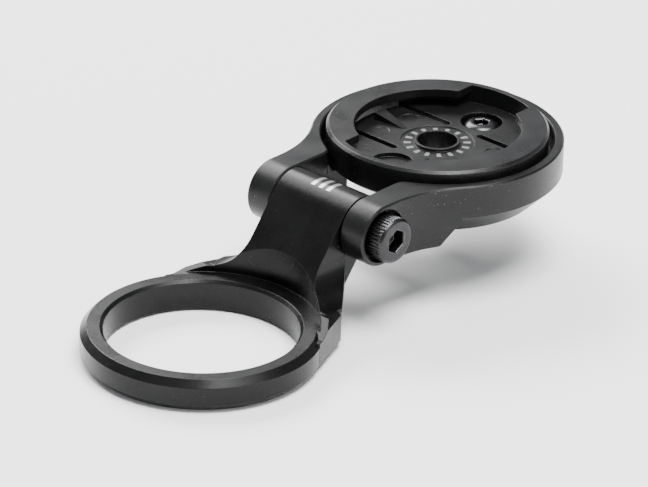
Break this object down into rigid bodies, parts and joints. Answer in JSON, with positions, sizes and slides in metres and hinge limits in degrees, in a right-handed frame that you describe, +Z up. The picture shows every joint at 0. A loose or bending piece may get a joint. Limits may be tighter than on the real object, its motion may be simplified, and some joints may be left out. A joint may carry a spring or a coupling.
{
  "type": "cycling computer mount",
  "caption": "Steerer-spacer mount with a tilting hinged arm and a round quarter-turn socket for a cycling computer.",
  "frame": {"origin": "centre of the steerer bore, half way up the spacer ring", "axes": "+Z up along the steerer axis, +Y from the ring towards the round housing, +X along the hinge towards the bolt head"},
  "size_m": [0.0381, 0.0873, 0.0205],
  "materials": {
    "anodised": "satin black anodised",
    "nylon": "moulded black nylon",
    "black_steel": "black oxide"
  },
  "bodies": {
    "ring_mount": {"ring_arm": "anodised"},
    "fork": {"fork_housing": "anodised", "quarter_turn_insert": "nylon", "insert_screw": "black_steel"},
    "bolt": {"pivot_bolt": "black_steel"}
  },
  "joints": [
    {"name": "tilt_hinge", "type": "hinge", "parent": "ring_mount", "child": "fork", "pos_m": [0, 0.0261, 0.01185], "axis": [1, 0, 0], "range_deg": [-75, 160]},
    {"name": "bolt_turn", "type": "hinge", "parent": "fork", "child": "bolt", "pos_m": [0, 0.0261, 0.01185], "axis": [1, 0, 0], "range_deg": [0, 360]}
  ]
}
